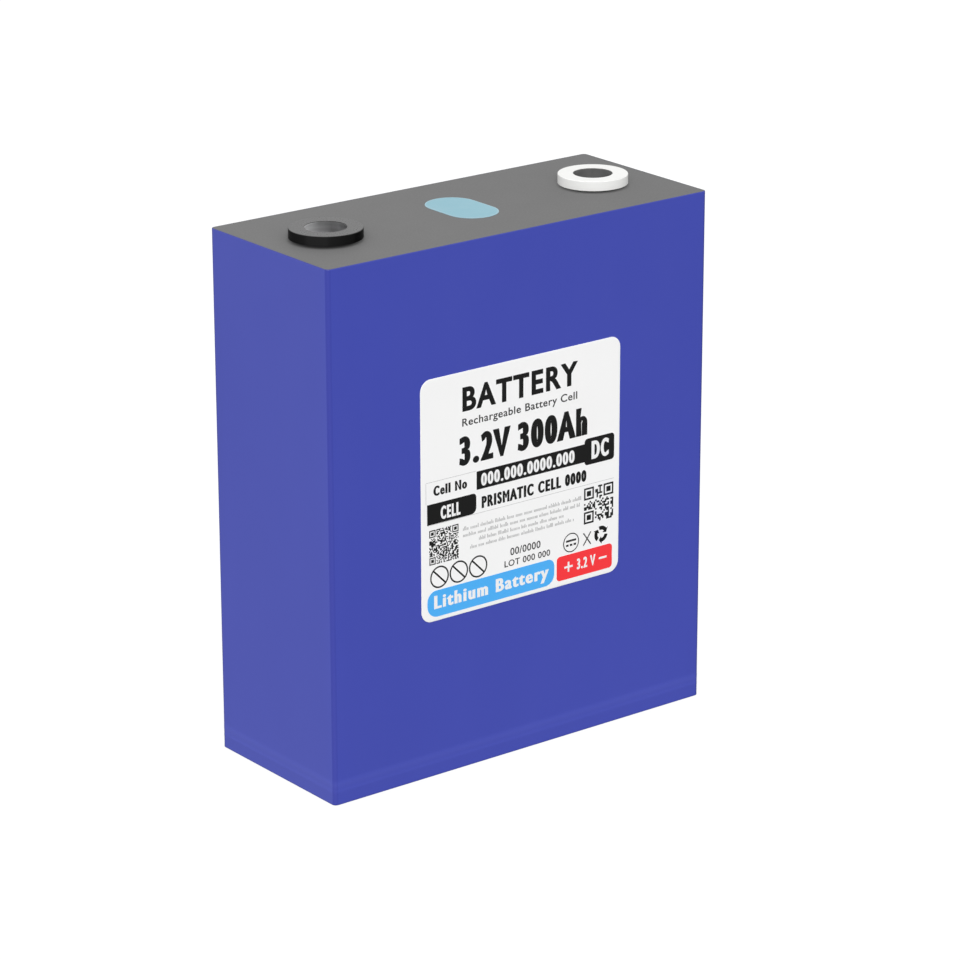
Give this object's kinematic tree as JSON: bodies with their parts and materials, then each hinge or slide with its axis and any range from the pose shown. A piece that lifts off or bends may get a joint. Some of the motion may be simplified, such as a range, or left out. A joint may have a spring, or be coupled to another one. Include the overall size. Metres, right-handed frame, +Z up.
{
  "type": "prismatic battery cell",
  "caption": "Upright box-shaped lithium cell in a blue film wrap, with raised threaded terminals and an oval vent on top.",
  "frame": {"origin": "centre of the underside", "axes": "+Z up, X along the long side with the positive terminal at +X, labelled face towards -Y"},
  "size_m": [0.174, 0.0718, 0.2051],
  "materials": {
    "can_aluminium": "bare drawn aluminium, fine drawing marks",
    "terminal_aluminium": "turned aluminium with fine rings",
    "foil_aluminium": "plain rolled aluminium",
    "copper": "plain rolled copper, nickel-free",
    "blue_film": "blue polyester film with a soft satin gloss",
    "cover_sheet": "black polycarbonate sheet, fine matte texture",
    "dark_sheet": "thin black sheet",
    "label_paper": "white printed sticker, light gloss",
    "pale_blue_film": "pale blue protective film",
    "black_plastic": "moulded black plastic",
    "white_plastic": "moulded white plastic",
    "inner_plastic": "natural moulded polypropylene",
    "seal_rubber": "soft black rubber",
    "clear_sheet": "thin clear sheet",
    "green_tape": "thin green tape",
    "anode_coating": "dark coating on copper foil",
    "cathode_coating": "dark grey coating on aluminium foil",
    "separator_film": "white porous film"
  },
  "bodies": {
    "root": {"aluminium_can": "can_aluminium", "back_core_anode": "anode_coating", "back_core_cathode": "cathode_coating", "back_core_inner_separator": "separator_film", "back_core_negative_tabs": "copper", "back_core_outer_separator": "separator_film", "back_core_positive_tabs": "foil_aluminium", "bottom_insulator": "dark_sheet", "bottom_sheet": "blue_film", "core_support_plate": "inner_plastic", "core_tapes": "green_tape", "fill_port_cap": "can_aluminium", "fill_port_plug": "seal_rubber", "front_core_anode": "anode_coating", "front_core_cathode": "cathode_coating", "front_core_inner_separator": "separator_film", "front_core_negative_tabs": "copper", "front_core_outer_separator": "separator_film", "front_core_positive_tabs": "foil_aluminium", "insulation_bag": "clear_sheet", "label_sticker": "label_paper", "lid_plate": "can_aluminium", "negative_collar": "black_plastic", "negative_collector": "copper", "negative_lower_insulator": "inner_plastic", "negative_post": "terminal_aluminium", "negative_seal_ring": "seal_rubber", "negative_tab_clamps": "copper", "positive_collar": "white_plastic", "positive_collector": "foil_aluminium", "positive_lower_insulator": "inner_plastic", "positive_post": "terminal_aluminium", "positive_seal_ring": "seal_rubber", "positive_tab_clamps": "foil_aluminium", "top_cover_sheet": "cover_sheet", "vent_disc": "foil_aluminium", "vent_film": "pale_blue_film", "vent_guard": "inner_plastic", "wrap_film": "blue_film"}
  },
  "joints": []
}
